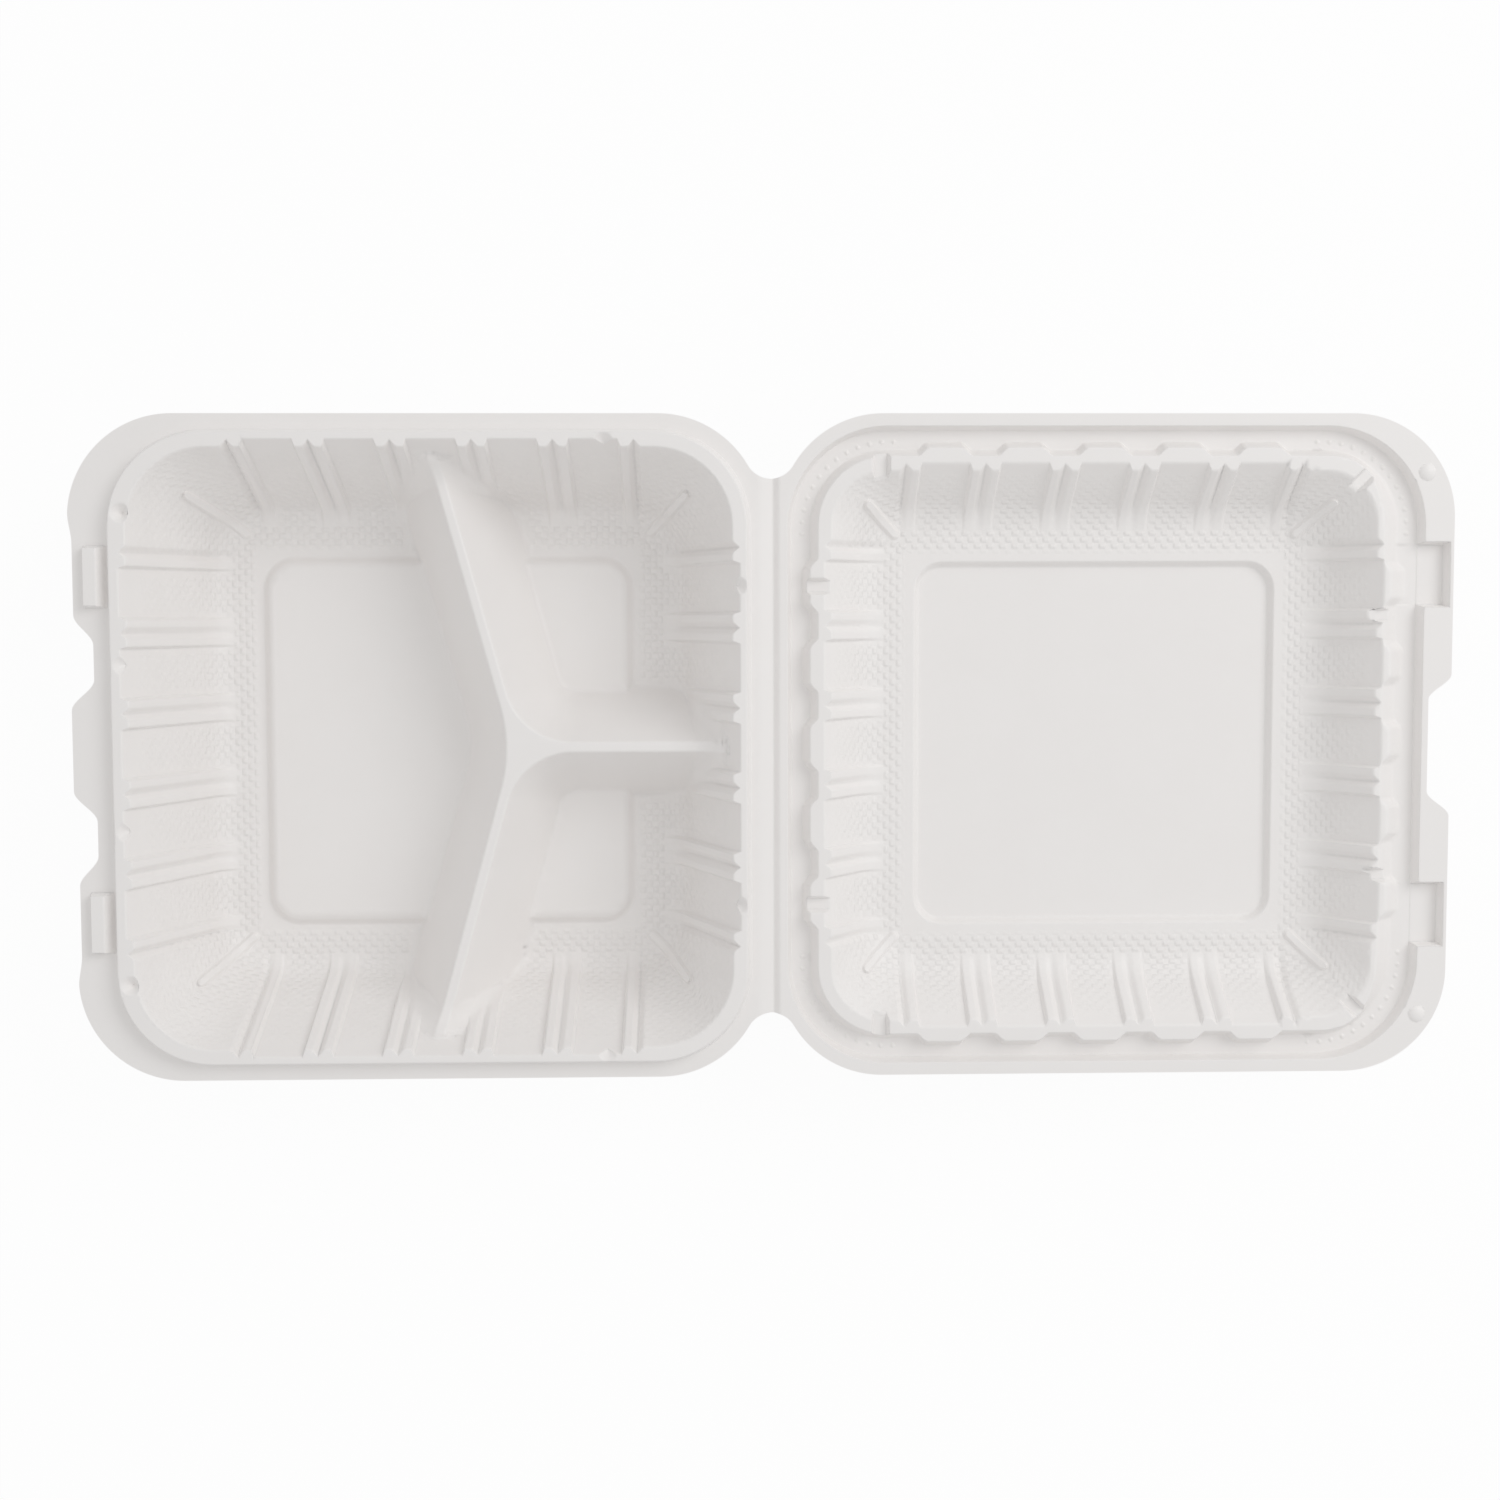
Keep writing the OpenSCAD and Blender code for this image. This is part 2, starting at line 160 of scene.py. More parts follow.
def smooth_step(x, start, end):
    t = np.clip((x - start) / (end - start), 0, 1)
    return t * t * (3 - 2 * t)


def smooth_min(a, b, k):
    h = np.clip(0.5 + 0.5 * (b - a) / k, 0, 1)
    return b + (a - b) * h - k * h * (1 - h)


def smooth_max(a, b, k):
    return -smooth_min(-a, -b, k)


def inset(p, v, half, r, shrink=1.0):
    """How far a point lies inside a square with round corners; the corner radius falls by shrink per mm."""
    x, y = abs(p), abs(v)
    a = 1 - shrink
    c = half - r
    qa = 2 * a * a - shrink * shrink
    qb = 2 * a * (x + y - 2 * c) + 2 * r * shrink
    qc = (x - c) ** 2 + (y - c) ** 2 - r * r
    i = (-qb + np.sqrt(np.maximum(qb * qb - 4 * qa * qc, 0))) / (2 * qa)
    round_part = (x - c + a * i > 0) & (y - c + a * i > 0)
    return np.where(round_part, i, half - np.maximum(x, y))


def along_side(p, v, shifts):
    """Place along the nearest wall, from the middle of that wall's panels."""
    across = abs(p) > abs(v)
    shift = np.where(across, np.where(p > 0, shifts[0], shifts[1]), np.where(v > 0, shifts[2], shifts[3]))
    return np.where(across, v, p) - shift


def to_panel(s):
    """Distance along a wall from the middle of the nearest panel."""
    t = s / FLUTE_PITCH
    return abs(t - np.clip(np.round(t), -SIDE_PANELS, SIDE_PANELS)) * FLUTE_PITCH


def flutes(s):
    """1 in a wall panel and in the bottom of a V groove, 0 on the ribs beside them."""
    t = s / FLUTE_PITCH
    to_vee = abs(t - np.clip(np.floor(t) + 0.5, -SIDE_PANELS - 0.5, SIDE_PANELS + 0.5)) * FLUTE_PITCH
    panel = 1 - smooth_step(to_panel(s), PANEL_HALF, PANEL_HALF + PANEL_RAMP)
    return np.maximum(panel, 1 - smooth_step(to_vee, -VEE_ROUND, VEE_HALF))


def flute_fade(i, wall):
    """How deep the flutes still are, from the wall's top to just past its foot."""
    return np.interp(i, (0, wall["bend"], wall["foot"], wall["foot"] + 2), FLUTE_FADE)


def wall_profile(i, wall, top_z, floor_z):
    """Height of a plain wall: a straight slope, then a round foot that runs out on the floor."""
    foot, foot_r = wall["foot"], wall["foot_r"]
    curve = floor_z + foot_r - np.sqrt(foot_r ** 2 - np.clip(foot - i, 0, foot_r) ** 2)
    return np.where(i < wall["bend"], top_z - wall["slope"] * i, np.where(i < foot, curve, floor_z))


def wall_lean(i, wall):
    """Rise that stands for 1 mm square to the wall, so that a raised bar is equally thick all along."""
    run = np.clip(wall["foot"] - i, 0, wall["foot_r"] * 0.95)
    curve = run / np.sqrt(wall["foot_r"] ** 2 - run ** 2)
    return np.sqrt(1 + np.where(i < wall["bend"], wall["slope"], curve) ** 2)


def bar_mask(p, v, ends, half=BAR_HALF):
    """1 on the raised bar in each corner."""
    start, end = np.array(ends[0]), np.array(ends[1])
    run = end - start
    x, y = abs(p) - start[0], abs(v) - start[1]
    t = np.clip((x * run[0] + y * run[1]) / (run @ run), 0, 1)
    gap = np.hypot(x - t * run[0], y - t * run[1])
    return 1 - smooth_step(gap, half + BAR_RAMP[0], half + BAR_RAMP[1])


def divider_gap(u, v):
    """How far a point lies from the ridge's nearest edge, into a compartment."""
    a = abs(v)
    du = u - JUNCTION_U
    s, c = np.sin(ARM_LEAN), np.cos(ARM_LEAN)
    arm = du * c - a * s
    cu = (RIDGE_HALF + FRONT_BEND_R) / c
    bend = (du - cu) * s + a * c < 0
    front = np.where(bend, FRONT_BEND_R - np.hypot(du - cu, a), arm - RIDGE_HALF)
    reach = RIDGE_HALF + HINGE_BEND_R
    cu = -reach * (1 - s) / c
    bend = ((du - cu) * s + (a - reach) * c < 0) & (du > cu)
    hinge = np.where(bend, HINGE_BEND_R - np.hypot(du - cu, a - reach), np.minimum(-arm, a) - RIDGE_HALF)
    return np.maximum(front, hinge)


def front_in(p):
    return FRONT_IN * smooth_step(p, *FRONT_IN_RUN)


def base_parts(p, v):
    """Inset from the opening, height of the plain wall there, and height of the divider."""
    deep = inset(p + front_in(p), v, OPENING_HALF, OPENING_R, BASE_SHRINK)
    plain = wall_profile(deep, BASE_WALL, RIM_Z, BASE_FLOOR_Z)
    ridge = RIDGE_Z - DIVIDER_SLOPE * divider_gap(p + MID_U, v)
    return deep, plain, smooth_min(RIDGE_Z, ridge, RIDGE_ROUND)


def base_height(x, y):
    p, v = BASE_MID - x, y
    u = p + MID_U
    near = p + front_in(p)
    deep, plain, divider = base_parts(p, v)
    rib = 1 - flutes(along_side(p, v, BASE_SHIFTS))
    rib = rib * np.where(deep < RIB_TOP, 1, 1 - smooth_step(divider - plain, *RIB_ENDS))
    fluted = deep - FLUTE_DEPTH * rib * flute_fade(deep, BASE_WALL)
    bowl = wall_profile(fluted, BASE_WALL, RIM_Z, BASE_FLOOR_Z)
    bowl = bowl + BAR_H * bar_mask(near, v - BASE_BAR_SHIFT, BASE_BAR) * wall_lean(deep, BASE_WALL)
    step = BASE_FLOOR_Z + BASE_PANEL_SLOPE * inset(near, v, BASE_PANEL_HALF, BASE_PANEL_R)
    panel = smooth_min(BASE_FLOOR_Z + PANEL_STEP, step, BASE_PANEL_ROUND)
    bowl = smooth_max(bowl, panel, BASE_PANEL_ROUND)
    sweep = smooth_step(bowl, *SWEEP_START_Z) * (1 - smooth_step(bowl, *SWEEP_END_Z))
    inner = smooth_max(bowl, divider, DIVIDER_ROUND + DIVIDER_SWEEP * sweep)
    rim = smooth_min(RIM_Z, FLANGE_Z + RIM_SLOPE * inset(p, v, RIM_HALF, RIM_R), RIM_ROUND)
    z = smooth_min(smooth_max(FLANGE_Z, rim, RIM_FOOT_ROUND), inner, RIM_ROUND)
    for dent_u, dent_v in DENTS:
        gap = np.hypot(u - dent_u, v - dent_v)
        cone = RIM_Z + (gap - DENT_R) * DENT_SLOPE
        z = np.where(gap < DENT_REACH, smooth_min(z, cone, DENT_ROUND), z)
    ends = np.minimum(abs(v) - LUG_V[0], LUG_V[1] - abs(v)) * LUG_SIDE_SLOPE
    lug = smooth_min(LUG_H, (u - LUG_U[0]) * LUG_BACK_SLOPE, LUG_ROUND)
    lug = smooth_min(lug, (LUG_U[1] - u) * LUG_SIDE_SLOPE, LUG_ROUND)
    lug = smooth_min(lug, ends, LUG_ROUND)
    return smooth_max(z, np.where(lug > -2, FLANGE_Z + lug, 0), LUG_FOOT_ROUND)


def base_front_cut(v):
    """How far the front edge is cut back: finger notches beside the tongue, and a little at the lugs."""
    a = abs(v)
    inner = NOTCH_DEPTH * smooth_step(a, *NOTCH_NEAR)
    outer = LUG_CUT * (1 - smooth_step(a, *LUG_CUT_END))
    outer = outer + (NOTCH_DEPTH - LUG_CUT) * (1 - smooth_step(a, *NOTCH_FAR))
    return np.minimum(inner, outer)


def half_outline(reach, fold_edge, front_cut):
    """The trimmed edge of one half, as distance from the fold and along it, all the way round."""
    turn = np.linspace(np.arcsin(fold_edge / NECK_R), np.arcsin(FOLD_MEET[0] / NECK_R), 8)
    neck = np.stack([NECK_R * np.sin(turn), NECK_V - NECK_R * np.cos(turn)], 1)
    c_u, c_v = BACK_CORNER_U, HALF_WIDTH - FLANGE_R
    start = np.arctan2(FOLD_MEET[1] - c_v, FOLD_MEET[0] - c_u)
    turn = np.linspace(start, np.pi / 2, 26)[1:]
    back = np.stack([c_u + FLANGE_R * np.cos(turn), c_v + FLANGE_R * np.sin(turn)], 1)
    run = np.arange(c_u + 2, reach - FLANGE_R - 1, 2.0)
    side = np.stack([run, np.full(len(run), HALF_WIDTH)], 1)
    turn = np.linspace(np.pi / 2, 0, 46)
    corner = np.stack([reach - FLANGE_R + FLANGE_R * np.cos(turn), c_v + FLANGE_R * np.sin(turn)], 1)
    v = np.linspace(c_v, 0, 134)[1:]
    front = np.stack([np.full(len(v), reach), v], 1)
    upper = np.concatenate([neck, back, side, corner, front])
    upper[:, 0] -= np.where(upper[:, 0] > reach - FLANGE_R, front_cut(upper[:, 1]), 0)
    fold = np.linspace(-neck[0, 1], neck[0, 1], 96)[1:-1]
    fold = np.stack([np.full(len(fold), fold_edge), fold], 1)
    return np.concatenate([upper, (upper * (1, -1))[-2::-1], fold])


def side_stations(shift, panel_half, ramp, vee):
    """Places along a wall where its flutes turn, with steps between them."""
    places = []
    for k in range(-SIDE_PANELS, SIDE_PANELS + 1):
        c = k * FLUTE_PITCH
        for q in (1, 0.93, 0.66, 0.33):
            places += [c - q * panel_half, c + q * panel_half]
        places += [c] + [c + e * (panel_half + f * ramp) for e in (-1, 1) for f in (0.33, 0.66, 1)]
    for k in range(-SIDE_PANELS - 1, SIDE_PANELS + 1):
        c = (k + 0.5) * FLUTE_PITCH
        places += [c + f * vee for f in (-1.5, -1, -0.66, -0.33, 0, 0.33, 0.66, 1, 1.5)]
    return np.sort(np.array(places)) + shift


def ring(half, r, sides, corner_points, corner_half=None, corner_r=None):
    """Points on a square with round corners, along its four sides and then round its corners.

    half and r are numbers, or one list for each side with a value for each place along it.
    """
    corner_half = half if corner_half is None else corner_half
    corner_r = r if corner_r is None else corner_r
    c = corner_half - corner_r
    points = []
    last = 0
    for k, s in enumerate(sides):
        side_half = half[k] if isinstance(half, list) else np.full(len(s), half)
        side_r = r[k] if isinstance(r, list) else np.full(len(s), r)
        past = np.clip(abs(s) - (side_half - side_r), 0, side_r)
        out = side_half - side_r + np.sqrt(side_r * side_r - past * past)
        points.append([(out, s), (-out, s), (s, out), (s, -out)][k])
        last = max(last, abs(s).max())
    # A corner starts just past the last place on the sides, on the arc or on a straight lead to it
    lead = np.arcsin(np.clip((last + 0.4 - c) / corner_r, 0, 0.7))
    arc = corner_r * (np.pi / 2 - 2 * lead)
    straight = max(c - last - 1.2, 0)
    way = np.linspace(0, arc + 2 * straight, corner_points)
    turn = lead + np.clip(way - straight, 0, arc) / corner_r
    x = c + corner_r * np.cos(turn) - np.maximum(way - straight - arc, 0)
    y = c + corner_r * np.sin(turn) - np.maximum(straight - way, 0)
    for e in (-1, 1):
        for f in (-1, 1):
            points.append((e * x, f * y))
    return np.concatenate([np.stack(q, 1) for q in points])


def edge_rings(half, r, gaps, step, corner_points):
    """Rings beside an edge that runs round a square, at these distances outside it."""
    s = np.linspace(r - half, half - r, int(2 * (half - r) / step) + 1)
    return [ring(half + gap, r + gap, [s, s, s, s], corner_points) for gap in gaps]


def fluted_rings(half, r, shrink, wall, shifts, levels, corner_points):
    """Rings of equally many points down a fluted wall, each at one height all the way round."""
    sides = [side_stations(shift, PANEL_HALF, PANEL_RAMP, VEE_HALF) for shift in shifts]
    made = []
    for level in levels:
        lean = FLUTE_DEPTH * flute_fade(level, wall)
        ins = [level + lean * (1 - flutes(s - shift)) for s, shift in zip(sides, shifts)]
        made.append(ring([half - i for i in ins], [r - shrink * i for i in ins], sides, corner_points,
                         half - level - lean, r - shrink * (level + lean)))
    return made


def grid_links(rings, per_corner):
    """Pairs of neighbours down a wall and along it, so that its creases stay straight."""
    count, n = np.shape(rings)[:2]
    per_side = n // 4 - per_corner
    column = np.arange(n)
    ends = np.concatenate([per_side * np.arange(1, 5), 4 * per_side + per_corner * np.arange(1, 5)]) - 1
    down = np.arange((count - 1) * n)
    along = (np.arange(count)[:, None] * n + np.delete(column, ends)).ravel()
    return np.concatenate([np.stack([down, down + n], 1), np.stack([along, along + 1], 1)])


def drawn_in(rings, shift):
    """All points of some rings, with those towards the front drawn in as the shift says."""
    points = np.concatenate(rings)
    points[:, 0] -= shift(points[:, 0] - shift(points[:, 0]))
    return points


def patch(p0, p1, v0, v1, step):
    p, v = np.meshgrid(np.arange(p0, p1 + step / 2, step), np.arange(v0, v1 + step / 2, step))
    return np.stack([p.ravel(), v.ravel()], 1)


def square_patch(p, v, half, step):
    return patch(p - half, p + half, v - half, v + half, step)


def bar_patch(ends, front_shift, shift):
    """Rows of points along each corner bar."""
    start, end = np.array(ends[0]), np.array(ends[1])
    length = np.hypot(*(end - start))
    run = (end - start) / length
    q = patch(-BAR_MARGIN, length + BAR_MARGIN, -BAR_MARGIN, BAR_MARGIN, 0.4)
    made = start + q[:, :1] * run + q[:, 1:] * (-run[1], run[0])
    made = np.concatenate([made * (e, f) for e in (-1, 1) for f in (-1, 1)])
    return made + np.stack([-front_shift(made[:, 0]), np.full(len(made), shift)], 1)


def divider_rows(levels, step):
    """Rows of points beside the divider's ridge, from its top down to the floor."""
    s, c = np.sin(ARM_LEAN), np.cos(ARM_LEAN)
    reach = RIDGE_HALF + HINGE_BEND_R
    # Each bend: radius, middle, first and last angle, then the straight runs as bend's end, way and length
    bends = [(FRONT_BEND_R, (RIDGE_HALF + FRONT_BEND_R) / c, 0.0, np.pi, np.pi - ARM_LEAN,
              [(-1, (s, c), 105)]),
             (HINGE_BEND_R, -reach * (1 - s) / c, reach, -ARM_LEAN, -np.pi / 2,
              [(0, (s, c), 95), (-1, (-1.0, 0.0), 75)])]
    made = []
    for gap in levels:
        for bend_r, cu, cv, first, last, runs in bends:
            r = bend_r - gap
            turn = np.linspace(first, last, max(3, int(abs(last - first) * r / step)))
            arc = np.stack([cu + r * np.cos(turn), cv + r * np.sin(turn)], 1)
            made.append(arc)
            for end, way, length in runs:
                made.append(arc[end] + np.arange(step, length, step)[:, None] * np.array(way))
    rows = np.concatenate(made)
    rows[:, 0] += JUNCTION_U - MID_U
    rows = np.concatenate([rows, rows * (1, -1)])
    return rows[np.abs(rows).max(1) < OPENING_HALF - 1.5]


def inside(points, edge, margin):
    """Which points lie inside the trimmed edge, and at least a margin away from it."""
    a, b = edge, np.roll(edge, -1, 0)
    run = b - a
    keep = np.ones(len(points), bool)
    for part in np.array_split(np.arange(len(points)), max(1, len(points) // 2000)):
        q = points[part][:, None, :]
        t = np.clip(((q - a) * run).sum(2) / (run * run).sum(1), 0, 1)
        gap = np.hypot(*np.moveaxis(q - a - t[..., None] * run, 2, 0)).min(1)
        cross = (a[:, 1] > q[..., 1]) != (b[:, 1] > q[..., 1])
        rise = np.where(run[:, 1] == 0, 1, run[:, 1])
        hit = cross & (q[..., 0] < a[:, 0] + (q[..., 1] - a[:, 1]) * run[:, 0] / rise)
        keep[part] = (hit.sum(1) % 2 == 1) & (gap > margin)
    return keep


def gathered(edge, sets):
    """Sets of points and links put together; each set stays clear of those before it by its own least gap."""
    cell = 0.2
    same = 0.05
    margin = 0.3
    surely_inside = 94
    low = edge.min(0) - 5
    middle = (edge.min(0) + edge.max(0)) / 2
    taken = np.zeros(np.ceil((edge.max(0) + 5 - low) / cell).astype(int), bool)
    count = len(edge)
    points = [edge]
    links = [np.stack([np.arange(count), np.roll(np.arange(count), -1)], 1)]
    for gap, made, pairs in sets:
        near = taken.copy()
        reach = int(gap / cell)
        for i in range(-reach, reach + 1):
            for j in range(-reach, reach + 1):
                if 0 < i * i + j * j <= reach * reach:
                    near |= np.roll(taken, (i, j), (0, 1))
        place = ((made - low) / cell).astype(int)
        within = ((place >= 0) & (place < taken.shape)).all(1)
        place = np.where(within[:, None], place, 0)
        keep = within & ~near[place[:, 0], place[:, 1]]
        outer = keep & (abs(made - middle).max(1) > surely_inside)
        keep[outer] = inside(made[outer], edge, margin)
        lone = np.zeros(len(made), bool)
        lone[np.unique(np.round(made / same).astype(np.int64), axis=0, return_index=True)[1]] = True
        keep &= lone
        place = place[keep]
        taken[place[:, 0], place[:, 1]] = True
        index = np.full(len(made), -1)
        index[keep] = count + np.arange(keep.sum())
        if len(pairs):
            both = index[pairs]
            links.append(both[(both >= 0).all(1)])
        points.append(made[keep])
        count += keep.sum()
    return np.concatenate(points), np.concatenate(links)


def formed_sheet(name, height, edge, sets, masks):
    """A closed sheet: its upper skin is the height function, its lower skin is set off along the normals."""
    flat, links = gathered(edge, sets)
    found = delaunay_2d_cdt([Vector(q) for q in flat], links.tolist(), [], 0, 1e-5, False)
    flat = np.array([q[:] for q in found[0]])
    tris = np.array(found[2])
    hull = np.flatnonzero((tris < len(edge)).all(1))
    out = hull[~inside(flat[tris[hull]].mean(1), edge, 0)]
    tris = np.delete(tris, out, 0)
    used, tris = np.unique(tris, return_inverse=True)
    flat, tris = flat[used], tris.reshape(-1, 3)
    x, y = flat.T
    area = np.cross(flat[tris[:, 1]] - flat[tris[:, 0]], flat[tris[:, 2]] - flat[tris[:, 0]])
    tris = np.where((area < 0)[:, None], tris[:, ::-1], tris)

    def normals(step):
        slope_x = (height(x + step, y) - height(x - step, y)) / (2 * step)
        slope_y = (height(x, y + step) - height(x, y - step)) / (2 * step)
        n = np.stack([-slope_x, -slope_y, np.ones(len(x))], 1)
        return n / np.linalg.norm(n, axis=1)[:, None]

    # Fine slopes shade the skins, and wider ones set the lower skin off so that it doesn't fold in a crease
    top = np.stack([x, y, height(x, y)], 1)
    shade = normals(0.1)
    low = top - SHEET * normals(0.35)
    n = len(top)
    ways = np.concatenate([tris[:, [0, 1]], tris[:, [1, 2]], tris[:, [2, 0]]])
    back = set((ways[:, 1] * n + ways[:, 0]).tolist())
    rim = np.array([w for w in ways if int(w[0]) * n + int(w[1]) not in back])
    a, b = rim.T
    band = np.concatenate([np.stack([a, a + n, b + n], 1), np.stack([a, b + n, b], 1)])
    run = top[b] - top[a]
    out = np.stack([run[:, 1], -run[:, 0], np.zeros(len(run))], 1)
    out /= np.linalg.norm(out, axis=1)[:, None]
    faces = np.concatenate([tris, tris[:, ::-1] + n, band])
    corner = np.concatenate([shade[tris.ravel()], -shade[tris[:, ::-1].ravel()],
                             np.repeat(np.concatenate([out, out]), 3, 0)])
    mesh = bpy.data.meshes.new(name)
    mesh.vertices.add(2 * n)
    mesh.vertices.foreach_set("co", (np.concatenate([top, low]) * MM).ravel())
    mesh.loops.add(3 * len(faces))
    mesh.loops.foreach_set("vertex_index", faces.ravel().astype(np.int32))
    mesh.polygons.add(len(faces))
    mesh.polygons.foreach_set("loop_start", np.arange(0, 3 * len(faces), 3, dtype=np.int32))
    mesh.update(calc_edges=True)
    mesh.polygons.foreach_set("use_smooth", np.ones(len(faces), bool))
    mesh.normals_split_custom_set(corner.tolist())
    for mask, value in masks(x, y).items():
        mesh.attributes.new(mask, "FLOAT", "POINT").data.foreach_set(
            "value", np.concatenate([value, value * 0]).astype(np.float32))
    piece = bpy.data.objects.new(name, mesh)
    bpy.context.collection.objects.link(piece)
    return piece


# The mould's grain ends below the opening's edge and beside the divider, and is deepest on the border
GRAIN_END = 2.7
GRAIN_END_RUN = (1.5, 3)
GRAIN_BESIDE = (-9, -3)
KNURL_FADE = (1, 0.85, 0.45, 0.25)
# From the tray's middle: the floor border's two edges, and the wall's foot
BASE_BORDER = (70.6, 78.0)
BASE_GRAIN_FOOT = 86.0


def grain_masks(p, v, shifts, border, foot, rim):
    """Where the mould leaves its diamond knurl and its fine pebble: on floor border and wall panels."""
    half = np.maximum(abs(p), abs(v))
    s = along_side(p, v, shifts)
    panel = 1 - smooth_step(abs(s / FLUTE_PITCH - np.round(s / FLUTE_PITCH)) * FLUTE_PITCH,
                            PANEL_HALF - 1.4, PANEL_HALF)
    panel = np.where(abs(s) > (SIDE_PANELS + 0.5) * FLUTE_PITCH, 1, panel)
    wall = smooth_step(half, border[1], border[1] + 1.5)
    below = 1 - smooth_step(half, rim - 1.5, rim - 0.5)
    diamond = smooth_step(half, border[0], border[0] + 0.6) * below * np.interp(
        half, (border[1], foot, (foot + rim) / 2, rim), KNURL_FADE)
    return {"diamond": diamond * (1 - wall + wall * panel),
            "pebble": panel * smooth_step(half, foot - 3, foot + 3) * below}


class Wire:
    """A socket in a material's node tree, so that shader maths reads as an expression."""

    def __init__(self, tree, socket=None):
        self.tree, self.socket = tree, socket

    def node(self, kind, settings, inputs, out=0):
        made = self.tree.nodes.new(kind)
        for key, value in settings.items():
            setattr(made, key, value)
        for key, value in inputs.items():
            if isinstance(value, Wire):
                self.tree.links.new(value.socket, made.inputs[key])
            else:
                made.inputs[key].default_value = value
        return Wire(self.tree, made.outputs[out])

    def other(self, out):
        return Wire(self.tree, self.socket.node.outputs[out])

    def maths(self, operation, *values):
        return self.node("ShaderNodeMath", {"operation": operation}, dict(enumerate(values)))

    def __add__(self, value):
        return self.maths("ADD", self, value)

    def __radd__(self, value):
        return self.maths("ADD", value, self)

    def __sub__(self, value):
        return self.maths("SUBTRACT", self, value)

    def __rsub__(self, value):
        return self.maths("SUBTRACT", value, self)

    def __mul__(self, value):
        return self.maths("MULTIPLY", self, value)

    def __rmul__(self, value):
        return self.maths("MULTIPLY", value, self)


# The sheet's colour wanders between two warm whites. The mould leaves rows of knurl, a pebble and a fine bite
SHEET_DEEP = (0.907, 0.884, 0.868, 1)
SHEET_PALE = (0.927, 0.907, 0.894, 1)
KNURL_ROW = 4.6
KNURL_PITCH = 4.45
KNURL_H = 0.3
PEBBLE_H = 0.14
BITE_H = 0.012


def sheet_finish(name, mid_x):
    """Matte white filled polypropylene, faintly mottled, with the mould's grain where the masks say."""
    material = bpy.data.materials.new(name)
    material.use_nodes = True
    tree = material.node_tree
    shader = tree.nodes["Principled BSDF"]
    shader.inputs["IOR"].default_value = 1.49
    wire = Wire(tree)
    place = wire.node("ShaderNodeTexCoord", {}, {}, "Object")
    across = wire.node("ShaderNodeSeparateXYZ", {}, {0: place})
    px = across - mid_x * MM
    py = across.other("Y")
    ax, ay = px.maths("ABSOLUTE", px), py.maths("ABSOLUTE", py)
    sideways = ax.maths("GREATER_THAN", ax, ay)
    along = sideways * py + (1 - sideways) * px
    rise = ax.maths("MAXIMUM", ax, ay) + 0.7 * across.other("Z")
    turn = 2 * np.pi / MM
    row = rise.maths("COSINE", rise * (turn / KNURL_ROW))
    lens = along.maths("COSINE", along * (turn / KNURL_PITCH)) * row.maths("SIGN", row)
    lens = wire.node("ShaderNodeMath", {"operation": "MULTIPLY_ADD", "use_clamp": True},
                     {0: lens, 1: 0.9, 2: 0.5})
    knurl = lens * row.maths("ABSOLUTE", row)
    diamond = wire.node("ShaderNodeAttribute", {"attribute_name": "diamond"}, {}, "Fac")
    pebble = wire.node("ShaderNodeAttribute", {"attribute_name": "pebble"}, {}, "Fac")
    grain = wire.node("ShaderNodeTexNoise", {}, {"Vector": place, "Scale": 900.0, "Detail": 1.0})
    bite = wire.node("ShaderNodeTexNoise", {}, {"Vector": place, "Scale": 3500.0, "Detail": 2.0})
    cloud = wire.node("ShaderNodeTexNoise", {}, {"Vector": place, "Scale": 60.0, "Detail": 3.0})
    tall = knurl * diamond * (KNURL_H * MM) + grain * pebble * (PEBBLE_H * MM) + bite * (BITE_H * MM)
    bump = wire.node("ShaderNodeBump", {}, {"Height": tall, "Distance": 1.0})
    colour = wire.node("ShaderNodeMix", {"data_type": "RGBA"}, {0: cloud, 6: SHEET_DEEP, 7: SHEET_PALE}, 2)
    tree.links.new(colour.socket, shader.inputs["Base Color"])
    tree.links.new((0.42 + 0.12 * cloud).socket, shader.inputs["Roughness"])
    tree.links.new(bump.socket, shader.inputs["Normal"])
    return material


# Points of the mesh lie close where the sheet bends: down the walls, beside the ridge, at the edges of
# rim and floor panel, and in patches on the small forms
BASE_LEVELS = (-1.2, -0.8, -0.45, -0.2, 0, 0.2, 0.45, 0.9, 1.8, 3, 4.5, 6, 8, 10, 12, 14, 16, 17.5, 19, 20.5,
               22, 23.5, 25, 26.4, 27.8, 29.2)
RIDGE_LEVELS = (-1.75, -0.8, -0.3, 0, 0.25, 0.55, 1, 2, 3.5, 5, 7, 9, 11, 13, 14.5, 15.4, 16.2, 17, 17.8)
PANEL_LEVELS = (0.9, 0.5, 0.2, -0.1, -0.4, -0.75, -1.1, -1.4, -1.7, -2.2)
RIM_LEVELS = (1.6, 0.8, 0.4, 0.15, -0.1, -0.35, -0.6, -0.85, -1.05, -1.25, -1.5, -1.9, -2.3)
WALL_CORNER_POINTS = 24
PANEL_CORNER_POINTS = 16
RIM_CORNER_POINTS = 36
PANEL_POINT_STEP = 2.4
RIM_POINT_STEP = 2.2
RIDGE_POINT_STEP = 1.3
FINE_STEP = 0.36
BASE_FILL_STEP = 2.2
# Points of the wall that the divider covers are sent far off, where none is kept
DIVIDER_CLEAR = 9
FAR_OFF = 1000

